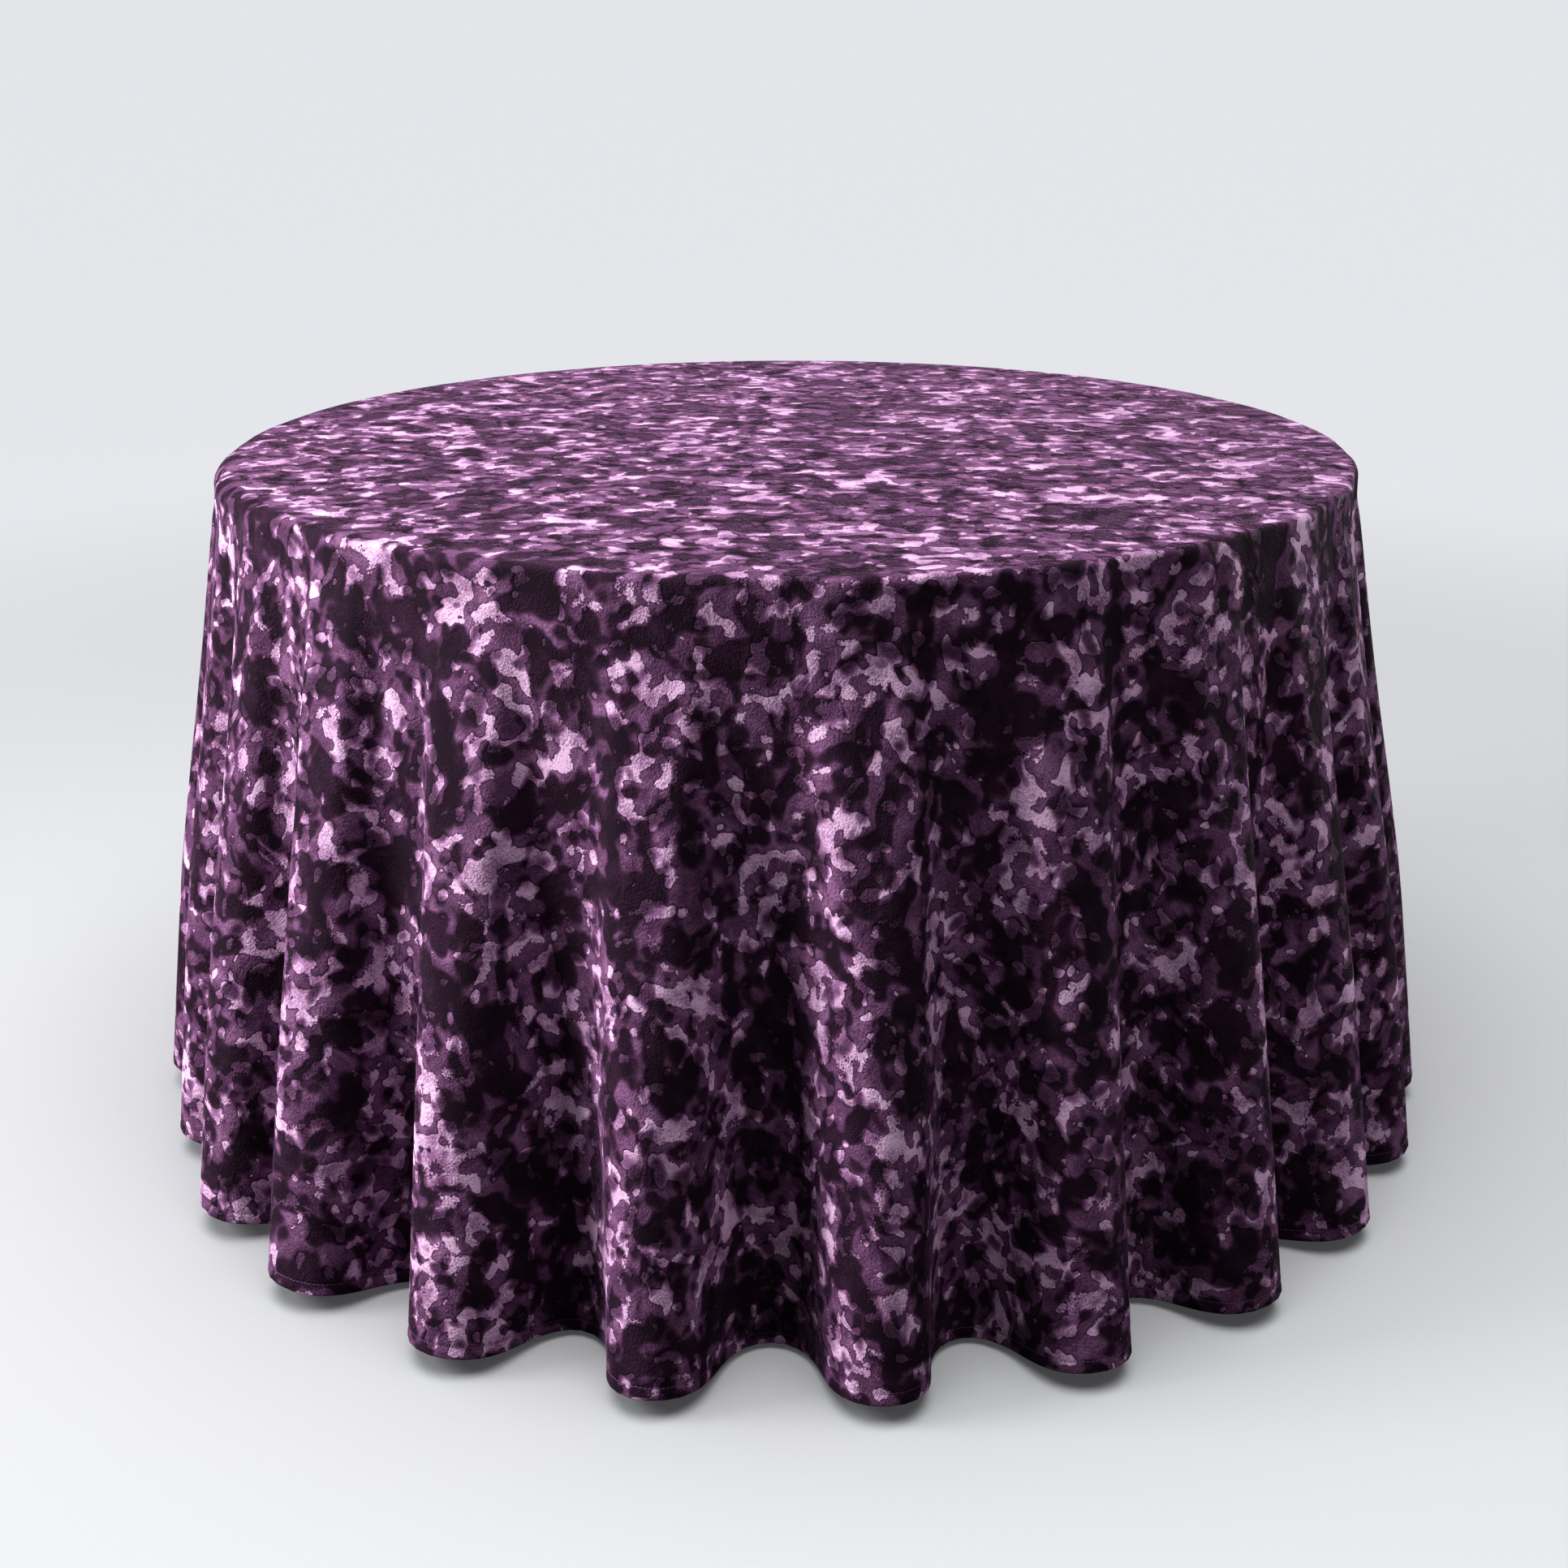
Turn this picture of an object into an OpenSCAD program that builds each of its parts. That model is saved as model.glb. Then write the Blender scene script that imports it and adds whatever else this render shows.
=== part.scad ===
// Round folding table, 48 inches across, under a floor-length round cloth.
// Z is up and the floor is z = 0. The table's centre is on the Z axis.
// Each leg folds on its own bracket, and the four legs follow one another
// round the sides of a square, so that all of them lie flat under the top.

/* [Table top] */
// Diameter of the table top over its edge band
top_d = 1219; // [1180:1:1260]
// Height of the table's upper face above the floor
table_h = 750; // [740:1:770]
// Thickness of the plywood panel
panel_t = 18; // [15:1:22]
// Radial thickness of the edge band
band_t = 3.5; // [2:0.5:5]

/* [Under frame] */
// Distance of the rails' outer faces from the centre
rail_out = 312; // [300:1:316]
// Thickness of a rail
rail_t = 22; // [18:1:25]
// Height of a rail
rail_h = 45; // [35:1:50]

/* [Legs] */
// Half the side of the square that the leg pivots stand on
leg_square = 380; // [376:1:384]
// Outer radius of a leg tube
leg_r = 19; // [18:0.5:19]
// Wall thickness of a leg tube
leg_wall = 1.5; // [1.2:0.1:2.5]
// Distance of the pivot below the panel's underside
pivot_drop = 42; // [40:1:44]
// Radius of the pivot bolt
bolt_r = 5; // [4:0.5:5.5]
// Travel of a latch knob
latch_travel = 6; // [4:0.5:8]

/* [Cloth] */
// Number of folds round the skirt, even so that the outline stays centred
folds = 24; // [20:2:30]
// Height of the hem above the floor at the outside of a fold
hem_gap = 15; // [10:1:25]
// Outward slope of the outside of a fold
flare = 0.142; // [0.10:0.005:0.18]
// Radial thickness of the skirt
cloth_t = 5; // [4:0.5:6]
// Height of the turned hem
hem_h = 14; // [10:1:20]

/* [Hidden] */

$fn = 48;
gap = 0.1;                               // between pieces that are fixed together
run = 0.06;                              // radial clearance of a turning or sliding fit
over = 1;                                // how far a cutter runs past a face

// ---- places worked out from the driving dimensions ----
top_r = top_d / 2;
panel_r = top_r - band_t - gap;
under_z = table_h - panel_t;             // underside of the panel
pivot_z = under_z - pivot_drop;

// bracket: u runs the way the leg folds, v along the pivot, from the pivot's foot on the panel
plate_t = 4;
plate_z = under_z - plate_t;
plate_hv = 45;                           // half width of the base plate along v
plate_u0 = -40;
plate_u1 = 50;
cheek_t = 4;
cheek_in = leg_r + 1;                    // inner face of a cheek
cheek_out = cheek_in + cheek_t;
cheek_u = 30;                            // half width of a cheek
cheek_low = pivot_z - 60;
web_top = pivot_z - 32;                  // below the circle the leg's upper end sweeps
web_gap = 0.5;
screw_u = [-30, 40];
screw_v = 36;

leg_up = 22;                             // tube above the pivot
plug_t = 2;
foot_base = 12;
foot_h = 40;
foot_r = leg_r + 4;
saddle_u = 600;                          // distance of the saddle from the pivot
saddle_half = 12;
saddle_flange = 36;
saddle_screw_v = 31;

latch_z = pivot_z - 45;
latch_r = 4;
latch_nose = cheek_in - 0.4;
housing_r = 9;
housing_v = cheek_out + 10;
knob_r = 10;
knob_v = housing_v + 1;

wood_screw_r = 2;
rail_screw_r = 2.5;
pilot = 0.05;                            // radial clearance of a screw in its pilot hole

// ---- the four leg places: corner of the square and the turn of its bracket ----
LEGS = [[leg_square, -leg_square, 0], [leg_square, leg_square, 90],
        [-leg_square, leg_square, 180], [-leg_square, -leg_square, 270]];

// puts children, drawn with u along +Y and v along +X, at leg place i
module at_leg(i) {
    translate([LEGS[i][0], LEGS[i][1], 0]) rotate([0, 0, LEGS[i][2]]) children();
}

// a cylinder along v from v0 to v1, at height z
module v_rod(r, v0, v1, z) {
    translate([v0, 0, z]) rotate([0, 90, 0]) cylinder(r = r, h = v1 - v0);
}

// ==== cloth ====
cloth_top = table_h + 3;                 // outer face of the cloth on the table
cloth_in_z = table_h + 0.3;
edge_r = top_r + 4.2;                    // outer face of the cloth at the table's edge
skirt_in = top_r + 0.5;                  // the skirt's inner face never comes nearer
round_r = 6;                             // rounding where the cloth turns down
bulge = 25;                              // outward swell of a fold just under the edge
bulge_s = 72;                            // depth over which that swell builds up
valley_flare = 0.03;
skirt_len = cloth_top - hem_gap;
valley_drop = 8;                         // a fold's inside hangs this much lower
per_fold = 8;                            // azimuth steps in a fold
steps = folds * per_fold;
first_fold = -83;                        // azimuth of the fold in front, from +X

// depths below the cloth's upper face at which the skirt has a ring, outside and inside
OUTER_DEPTHS = [round_r, 25, 60, 110, 180, 280, 400, 540, skirt_len];
INNER_DEPTHS = [skirt_len, skirt_len - hem_h, 540, 280, 110, 25];

function azimuth(i) = first_fold + 360 * i / steps;
// 1 on the outside of a fold and 0 at its inside
function wave(i) = pow(0.5 + 0.5 * cos(360 * i / per_fold), 0.9);
function out_r(s) = edge_r + bulge * (1 - exp(-s / bulge_s)) + flare * s;
function in_r(s) = edge_r + valley_flare * s;
function skirt_r(i, s) = in_r(s) + (out_r(s) - in_r(s)) * wave(i);
function skirt_z(i, s) = cloth_top - s - valley_drop * (1 - wave(i)) * pow(s / skirt_len, 2);
function polar(r, i, z) = [r * cos(azimuth(i)), r * sin(azimuth(i)), z];

function round_ring(a) = [for (i = [0:steps - 1])
    polar(edge_r - round_r + round_r * sin(a), i, cloth_top - round_r + round_r * cos(a))];
function outer_ring(s) = [for (i = [0:steps - 1]) polar(skirt_r(i, s), i, skirt_z(i, s))];
function inner_ring(s, t) = [for (i = [0:steps - 1])
    polar(max(skirt_in, skirt_r(i, s) - t), i, skirt_z(i, s))];
function flat_ring(r, z) = [for (i = [0:steps - 1]) polar(r, i, z)];

// triangles between ring a and ring a + 1, for rings listed from the top down the outside
function band_faces(a) = [for (i = [0:steps - 1])
    let (j = (i + 1) % steps, p = a * steps, q = p + steps)
    each [[p + i, p + j, q + i], [p + j, q + j, q + i]]];

// closed shell from rings that start and end at a centre point
module capped_shell(rings, first, last) {
    n = len(rings);
    points = concat([for (r = rings) each r], [first, last]);
    body = [for (a = [0:n - 2]) each band_faces(a)];
    start = [for (i = [0:steps - 1]) [n * steps, (i + 1) % steps, i]];
    stop = [for (i = [0:steps - 1])
        [n * steps + 1, (n - 1) * steps + i, (n - 1) * steps + (i + 1) % steps]];
    polyhedron(points = points, faces = concat(body, start, stop), convexity = 10);
}

// closed loop of rings, the last joined to the first
module looped_shell(rings) {
    n = len(rings);
    points = [for (r = rings) each r];
    last = [for (i = [0:steps - 1])
        let (j = (i + 1) % steps, p = (n - 1) * steps)
        each [[p + i, p + j, i], [p + j, j, i]]];
    polyhedron(points = points, faces = concat([for (a = [0:n - 2]) each band_faces(a)], last),
               convexity = 10);
}

module tablecloth() {
    outer = concat([round_ring(0), round_ring(30), round_ring(60)],
                   [for (s = OUTER_DEPTHS) outer_ring(s)]);
    inner = concat([for (s = INNER_DEPTHS) inner_ring(s, cloth_t)],
                   [flat_ring(skirt_in, cloth_in_z)]);
    color([0.36, 0.19, 0.38])
        capped_shell(concat(outer, inner), [0, 0, cloth_top], [0, 0, cloth_in_z]);
}

// the turned edge, sewn to the inside of the skirt
module hem_band() {
    s1 = skirt_len;
    s0 = skirt_len - hem_h;
    t0 = cloth_t + 0.4;
    t1 = cloth_t + 2;
    color([0.30, 0.15, 0.32])
        looped_shell([inner_ring(s0, t0), inner_ring(s1, t0),
                      inner_ring(s1, t1), inner_ring(s0, t1)]);
}

// ==== table top and under frame ====
RAIL_SCREWS = [-240, 0, 240];            // along the front and back rails
SIDE_SCREWS = [-180, 0, 180];            // along the side rails

module rail_screw_places() {
    mid = rail_out - rail_t / 2;
    for (x = RAIL_SCREWS, y = [-mid, mid]) translate([x, y, 0]) children();
    for (y = SIDE_SCREWS, x = [-mid, mid]) translate([x, y, 0]) children();
    for (x = [-200, 200]) translate([x, 0, 0]) children();
}

module bracket_screw_places() {
    for (i = [0:3]) at_leg(i)
        for (u = screw_u, v = [-screw_v, screw_v]) translate([v, u, 0]) children();
}

module saddle_screw_places() {
    for (i = [0:3]) at_leg(i)
        for (v = [-saddle_screw_v, saddle_screw_v]) translate([v, saddle_u, 0]) children();
}

module pilot_hole(r, depth) {
    translate([0, 0, under_z - over]) cylinder(r = r + pilot, h = depth + over);
}

module top_panel() {
    color([0.78, 0.62, 0.42]) difference() {
        translate([0, 0, under_z]) cylinder(r = panel_r, h = panel_t, $fn = 96);
        rail_screw_places() pilot_hole(rail_screw_r, 13);
        bracket_screw_places() pilot_hole(wood_screw_r, 12);
        saddle_screw_places() pilot_hole(wood_screw_r, 12);
    }
}

module edge_band() {
    color([0.25, 0.20, 0.16]) difference() {
        translate([0, 0, under_z - 0.5]) cylinder(r = top_r, h = panel_t + 0.5, $fn = 96);
        translate([0, 0, under_z - over]) cylinder(r = top_r - band_t, h = panel_t + 2 * over,
                                                   $fn = 96);
    }
}

// through hole and head recess for a rail screw
module rail_screw_hole(depth) {
    translate([0, 0, under_z - depth - over]) cylinder(r = rail_screw_r + 0.2, h = depth + 2 * over);
    translate([0, 0, under_z - depth - over]) cylinder(r = 5.2, h = 6 + over);
}

module rail(len, x, y, along_y) {
    size = along_y ? [rail_t, len, rail_h] : [len, rail_t, rail_h];
    color([0.80, 0.66, 0.46]) difference() {
        translate([x - size[0] / 2, y - size[1] / 2, under_z - rail_h]) cube(size);
        rail_screw_places() rail_screw_hole(rail_h);
    }
}

long_rail = 2 * rail_out;
short_rail = 2 * (rail_out - rail_t) - 2 * gap;
rail_mid = rail_out - rail_t / 2;

module front_rail() rail(long_rail, 0, -rail_mid, false);
module back_rail() rail(long_rail, 0, rail_mid, false);
module left_rail() rail(short_rail, -rail_mid, 0, true);
module right_rail() rail(short_rail, rail_mid, 0, true);
module centre_batten() rail(short_rail, 0, 0, false);

// four triangular wooden blocks glued into the corners of the rails
module corner_blocks() {
    c = rail_out - rail_t - gap;
    block = 55;
    color([0.74, 0.58, 0.38])
        for (a = [0:90:270]) rotate([0, 0, a]) translate([0, 0, under_z - rail_h + 8])
            linear_extrude(rail_h - 8) polygon([[c, c], [c - block, c], [c, c - block]]);
}

// round-headed screw standing head down, its shaft up into the panel
module head_down_screw(r, head_r, head_h, seat_z, top_z) {
    translate([0, 0, seat_z]) cylinder(r = r, h = top_z - seat_z);
    difference() {
        translate([0, 0, seat_z - head_h]) cylinder(r1 = head_r * 0.7, r2 = head_r, h = head_h);
        translate([0, 0, seat_z - head_h - over]) cylinder(r = r * 0.8, h = over + head_h * 0.5);
    }
}

module rail_screws() {
    color([0.75, 0.72, 0.60]) rail_screw_places()
        head_down_screw(rail_screw_r, 4.8, 3, under_z - rail_h + 6, under_z + 12);
}

module bracket_screws() {
    color([0.70, 0.70, 0.72]) bracket_screw_places()
        head_down_screw(wood_screw_r, 4.2, 2.6, plate_z, under_z + 11);
}

module saddle_screws() {
    color([0.70, 0.70, 0.72]) saddle_screw_places()
        head_down_screw(wood_screw_r, 4.2, 2.6, under_z - 5, under_z + 11);
}

// ==== leg hardware ====
module bracket(i) {
    color([0.32, 0.33, 0.35]) at_leg(i) difference() {
        union() {
            translate([-plate_hv, plate_u0, plate_z])
                cube([2 * plate_hv, plate_u1 - plate_u0, plate_t]);
            for (side = [-1, 1])
                translate([side > 0 ? cheek_in : -cheek_out, -cheek_u, cheek_low])
                    cube([cheek_t, 2 * cheek_u, plate_z - cheek_low + over]);
            translate([-cheek_in - over, -leg_r - web_gap - cheek_t, cheek_low])
                cube([2 * (cheek_in + over), cheek_t, web_top - cheek_low]);
            v_rod(housing_r, cheek_in + over, housing_v, latch_z);
        }
        v_rod(bolt_r + 0.15, -cheek_out - over, cheek_out + over, pivot_z);
        v_rod(latch_r + run, cheek_in - over, housing_v + over, latch_z);
        for (u = screw_u, v = [-screw_v, screw_v])
            translate([v, u, plate_z - over]) cylinder(r = wood_screw_r + 0.3, h = plate_t + 2 * over);
    }
}

module pivot_bolts() {
    color([0.72, 0.72, 0.74]) for (i = [0:3]) at_leg(i) {
        v_rod(bolt_r, -cheek_out - 9, cheek_out + gap, pivot_z);
        v_rod(9, cheek_out + gap, cheek_out + gap + 5, pivot_z);
    }
}

module pivot_nuts() {
    color([0.66, 0.66, 0.68]) for (i = [0:3]) at_leg(i) difference() {
        translate([-cheek_out - 8 - gap, 0, pivot_z]) rotate([0, 90, 0]) cylinder(r = 9, h = 8, $fn = 6);
        v_rod(bolt_r + 0.05, -cheek_out - 8 - over, -cheek_out + over, pivot_z);
    }
}

module leg_tube(i) {
    low = foot_base + gap;
    len = pivot_z + leg_up - low;
    color([0.20, 0.20, 0.21]) at_leg(i) difference() {
        translate([0, 0, low]) cylinder(r = leg_r, h = len);
        translate([0, 0, low - over]) cylinder(r = leg_r - leg_wall, h = len + 2 * over);
        v_rod(bolt_r + run, -leg_r - over, leg_r + over, pivot_z);
    }
}

// plastic cap in the tube's upper end
module leg_plug(i) {
    color([0.08, 0.08, 0.08]) at_leg(i) {
        translate([0, 0, pivot_z + leg_up + gap]) cylinder(r = leg_r, h = plug_t);
        translate([0, 0, pivot_z + leg_up - 10]) cylinder(r = leg_r - leg_wall - gap, h = 10 + over);
    }
}

// rubber foot pushed over the tube's lower end
module foot(i) {
    color([0.06, 0.06, 0.06]) at_leg(i) rotate_extrude()
        polygon([[0, 0], [foot_r - 3, 0], [foot_r - 0.5, 1.5], [foot_r, 4], [foot_r, 12],
                 [leg_r + 2.5, foot_h], [leg_r + 0.05, foot_h], [leg_r + 0.05, foot_base],
                 [0, foot_base]]);
}

// pull knob whose nose stands beside the leg
module latch_knob(i) {
    color([0.70, 0.10, 0.08]) at_leg(i) {
        v_rod(latch_r, latch_nose, knob_v + over, latch_z);
        translate([knob_v, 0, latch_z]) rotate([0, 90, 0]) rotate_extrude()
            polygon([[0, 0], [knob_r - 3, 0], [knob_r - 4, 3], [knob_r, 6], [knob_r, 11],
                     [knob_r - 2, 13], [0, 13]]);
    }
}

// plastic saddle that the folded leg lies in
module saddle(i) {
    low = pivot_z - 12;
    half = leg_r + 7;
    color([0.10, 0.10, 0.11]) at_leg(i) translate([0, saddle_u, 0]) difference() {
        union() {
            translate([-half, -saddle_half, low]) cube([2 * half, 2 * saddle_half, under_z - low]);
            translate([-saddle_flange, -saddle_half, under_z - 5])
                cube([2 * saddle_flange, 2 * saddle_half, 5]);
        }
        translate([0, -saddle_half - over, pivot_z]) rotate([-90, 0, 0])
            cylinder(r = leg_r + 0.8, h = 2 * (saddle_half + over));
        translate([-leg_r - 0.8, -saddle_half - over, low - over])
            cube([2 * (leg_r + 0.8), 2 * (saddle_half + over), pivot_z - low + over]);
        for (v = [-saddle_screw_v, saddle_screw_v])
            translate([v, 0, under_z - 5 - over]) cylinder(r = wood_screw_r + 0.3, h = 5 + 2 * over);
    }
}

module front_right_bracket() bracket(0);
module back_right_bracket() bracket(1);
module back_left_bracket() bracket(2);
module front_left_bracket() bracket(3);
module front_right_leg_tube() leg_tube(0);
module back_right_leg_tube() leg_tube(1);
module back_left_leg_tube() leg_tube(2);
module front_left_leg_tube() leg_tube(3);
module front_right_leg_plug() leg_plug(0);
module back_right_leg_plug() leg_plug(1);
module back_left_leg_plug() leg_plug(2);
module front_left_leg_plug() leg_plug(3);
module front_right_foot() foot(0);
module back_right_foot() foot(1);
module back_left_foot() foot(2);
module front_left_foot() foot(3);
module front_right_latch_knob() latch_knob(0);
module back_right_latch_knob() latch_knob(1);
module back_left_latch_knob() latch_knob(2);
module front_left_latch_knob() latch_knob(3);
module front_right_saddle() saddle(0);
module back_right_saddle() saddle(1);
module back_left_saddle() saddle(2);
module front_left_saddle() saddle(3);

tablecloth();
hem_band();
top_panel();
edge_band();
front_rail();
back_rail();
left_rail();
right_rail();
centre_batten();
corner_blocks();
rail_screws();
bracket_screws();
saddle_screws();
pivot_bolts();
pivot_nuts();
front_right_bracket();
back_right_bracket();
back_left_bracket();
front_left_bracket();
front_right_leg_tube();
back_right_leg_tube();
back_left_leg_tube();
front_left_leg_tube();
front_right_leg_plug();
back_right_leg_plug();
back_left_leg_plug();
front_left_leg_plug();
front_right_foot();
back_right_foot();
back_left_foot();
front_left_foot();
front_right_latch_knob();
back_right_latch_knob();
back_left_latch_knob();
front_left_latch_knob();
front_right_saddle();
back_right_saddle();
back_left_saddle();
front_left_saddle();
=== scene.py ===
"""A floor-length round velvet cloth on a folding table, with its hidden under-frame."""
import math

import bpy
import numpy as np
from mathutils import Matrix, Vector


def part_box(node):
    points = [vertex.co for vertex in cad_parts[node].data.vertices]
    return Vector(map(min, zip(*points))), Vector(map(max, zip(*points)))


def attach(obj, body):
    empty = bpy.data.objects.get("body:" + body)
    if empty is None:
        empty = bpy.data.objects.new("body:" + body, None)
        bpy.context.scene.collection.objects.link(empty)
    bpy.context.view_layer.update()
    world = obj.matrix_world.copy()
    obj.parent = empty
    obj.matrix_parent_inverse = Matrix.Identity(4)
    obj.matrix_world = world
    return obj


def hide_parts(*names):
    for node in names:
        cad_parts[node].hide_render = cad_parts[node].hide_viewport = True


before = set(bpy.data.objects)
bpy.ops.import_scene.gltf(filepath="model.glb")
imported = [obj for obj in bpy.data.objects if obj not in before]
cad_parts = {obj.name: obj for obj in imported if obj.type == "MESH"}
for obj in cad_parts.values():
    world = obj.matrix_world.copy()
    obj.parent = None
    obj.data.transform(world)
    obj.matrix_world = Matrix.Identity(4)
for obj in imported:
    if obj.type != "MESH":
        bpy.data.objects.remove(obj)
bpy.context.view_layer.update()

# ---- the cloth, in metres --------------------------------------------------
TABLE_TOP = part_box("top_panel")[1][2]            # height of the table's upper face
TABLE_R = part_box("edge_band")[1][0]              # radius over the edge band
CLOTH_T = 0.0018                                 # thickness of the velvet
REST_GAP = 0.0006                                # between the table and the cloth on it
TOP_Z = TABLE_TOP + REST_GAP + CLOTH_T
EDGE_R = TABLE_R + 0.0022 + CLOTH_T              # outer face of the cloth at the table's edge
TIGHT_TURN = 0.004                               # radius of the turn-down at a fold's inside
LOOSE_TURN = 0.010                               # and at its outside
SIDE_TURN = 0.016                                # more at the left, where the cloth is slack
SLACK_AT, SLACK_SPREAD = -80.0, 26.0             # azimuth and spread of the slack, degrees
TURN_R = EDGE_R - TIGHT_TURN                     # where the cloth begins to turn down
CUT_D = 2.743                                    # a 108 inch round, as cut
HEM_TURN = 0.013                                 # turned up at the edge
FINISHED_R = CUT_D / 2 - HEM_TURN
SKIRT = FINISHED_R - TURN_R                      # from the start of the turn-down to the hem

# ---- the folds: azimuths in degrees from the camera's side, positive to the right ----
# start: where the fold leaves the table's edge; hem: where its outside ends; valley: how far
# the inside that follows it stands out from the edge at the hem; crest: how much broader the
# outside is than the inside
FOLDS = [
    # start, hem, valley, crest
    (-70.5, -69.0, 0.034, 0.20),
    (-57.3, -54.7, 0.040, 0.30),
    (-43.2, -41.7, 0.040, 0.30),
    (-27.8, -26.4, 0.040, 0.15),
    (-11.6, -10.0, 0.026, 0.00),
    (6.4, 6.5, 0.040, 0.00),
    (23.0, 22.4, 0.044, 0.10),
    (38.0, 37.6, 0.044, 0.20),
    (52.4, 52.2, 0.044, 0.30),
    (65.5, 66.5, 0.030, 0.20),
]
SIDE_STEP = 13.0                                 # from the last front fold to the first back one
BACK_FOLDS = 14                                  # the folds that the front list leaves out
COLUMNS_PER_FOLD = 30
CROWDING = 0.4                                   # how much closer the columns lie on the flanks


def smooth(x):
    x = np.clip(x, 0.0, 1.0)
    return x * x * (3 - 2 * x)


def all_folds():
    """The front folds, then the back ones, unevenly spaced by a slow wave."""
    first, last = FOLDS[0], FOLDS[-1]
    rows = [list(f) for f in FOLDS]
    begin = last[1] + SIDE_STEP
    step = (360 + first[1] - last[1] - 2 * SIDE_STEP) / (BACK_FOLDS - 1)
    for k in range(BACK_FOLDS):
        inner = math.sin(math.pi * k / (BACK_FOLDS - 1))
        sway = inner * (1.5 * math.sin(2.3 * k + 0.7) + 0.8 * math.sin(5.1 * k))
        hem = begin + step * k + sway
        rows.append([hem - 0.8 * math.sin(1.9 * k), hem, 0.030 + 0.006 * math.sin(3.7 * k + 1.0),
                     0.15 + 0.12 * math.sin(2.9 * k + 2.0)])
    return np.array(rows)


# ---- one fold's cross-section: flat outside and inside, joined by two flanks ----
# The direction of the cloth swings out along the first flank and back along the second. Where
# the flanks take the whole length the curve is a sine-generated one.
SWING_STEPS = 192
SWINGS = np.linspace(0.0, 2.1, 211)              # largest direction angles tabulated, radians
FIRST_FLANK, SECOND_FLANK = 0.25, 0.75           # where the flanks' middles lie along the fold


def fold_section(swing, flanks):
    """Width and height along one fold of unit length, at SWING_STEPS + 1 even steps."""
    t = (np.arange(SWING_STEPS) + 0.5) / SWING_STEPS
    first = np.cos(math.pi * np.clip((t - FIRST_FLANK) / (flanks / 2), -0.5, 0.5))
    second = np.cos(math.pi * np.clip((t - SECOND_FLANK) / (flanks / 2), -0.5, 0.5))
    angle = swing * (first - second)
    wide = np.concatenate([[0.0], np.cumsum(np.cos(angle))]) / SWING_STEPS
    high = np.concatenate([[0.0], np.cumsum(np.sin(angle))]) / SWING_STEPS
    return wide, high


TABLE_OF_SWINGS = [fold_section(a, 1.0) for a in SWINGS]
FOLD_WIDTHS = np.array([w[-1] for w, h in TABLE_OF_SWINGS])
FOLD_HEIGHTS = np.array([h[SWING_STEPS // 2] for w, h in TABLE_OF_SWINGS])


def swing_for(length, angle, inner_r, flanks):
    """How strongly a fold of that arc length swings along its flanks to fill that angle."""
    spare = length * (1 - flanks + flanks * FOLD_WIDTHS)
    spare = spare - angle * (inner_r + flanks * length * FOLD_HEIGHTS / 2)
    if spare[0] <= 0:
        return 0.0
    last = int(np.argmax(spare < 0)) if (spare < 0).any() else len(SWINGS) - 1
    a, b = spare[last - 1], spare[last]
    return SWINGS[last - 1] + (SWINGS[last] - SWINGS[last - 1]) * a / max(a - b, 1e-9)


def insides(azimuths):
    """The azimuths halfway between neighbours: the folds' insides, each after its fold."""
    following = np.roll(azimuths, -1)
    following[-1] += 2 * math.pi
    return (azimuths + following) / 2


def before_each(after):
    before = np.roll(after, 1)
    before[0] -= 2 * math.pi
    return before


FOLD_START = 0.014                               # depth over which the folds set in
FLANKS = 0.34                                    # part of a fold's length in its flanks at the top
FULL = 0.70                                      # part of the drop by which they take all of it
EASE = 0.15                                      # how much the knit draws in round the hem
FRONT_EASE = 0.05                                # and more in front, where the folds are shallower
FRONT_SPREAD = 28.0                              # over this many degrees to each side
EASE_START = 0.12                                # part of the drop over which both set in


def skirt_section(depth, folds):
    """Azimuth (radians from the camera's side) of every column at a depth below the start of
    the turn-down, the radius of its fold's inside there, and how far it stands out from it."""
    down = depth / SKIRT
    start, hem = np.radians(folds[:, 0]), np.radians(folds[:, 1])
    ridge = start + (hem - start) * down
    after = insides(start) + (insides(hem) - insides(start)) * down
    before = before_each(after)
    width = after - before
    share = insides(start) - before_each(insides(start))
    valley = EDGE_R + folds[:, 2] * down
    front = np.exp(-(np.degrees(hem) / FRONT_SPREAD) ** 2)
    ease = (EASE + FRONT_EASE * front) * (1 - math.exp(-down / EASE_START))
    flanks = FLANKS + (1 - FLANKS) * float(smooth(down / FULL))
    t_all = np.arange(COLUMNS_PER_FOLD) / COLUMNS_PER_FOLD
    t_all = t_all + CROWDING * np.sin(4 * math.pi * t_all) / (4 * math.pi)
    steps = np.arange(SWING_STEPS + 1) / SWING_STEPS
    theta, inside, stands = [], [], []
    for k in range(len(folds)):
        length = (TURN_R + depth) * share[k] * (1 - ease[k])
        r0, r1 = valley[k - 1], valley[k]
        swing = swing_for(length, width[k], (r0 + r1) / 2, flanks)
        wide, high = fold_section(swing * (1 - math.exp(-depth / FOLD_START)), flanks)
        wide = np.interp(t_all, steps, wide) / wide[-1]
        high = np.interp(t_all, steps, high)
        across = wide * 2 - 1
        across = across * (1 + folds[k, 3] * down * (1 - across ** 2))
        az = ridge[k] + across * np.where(across < 0, ridge[k] - before[k], after[k] - ridge[k])
        theta.append(az)
        inside.append(r0 + (r1 - r0) * smooth(t_all))
        stands.append(high * length)
    return np.concatenate(theta), np.concatenate(inside), np.concatenate(stands)


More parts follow.
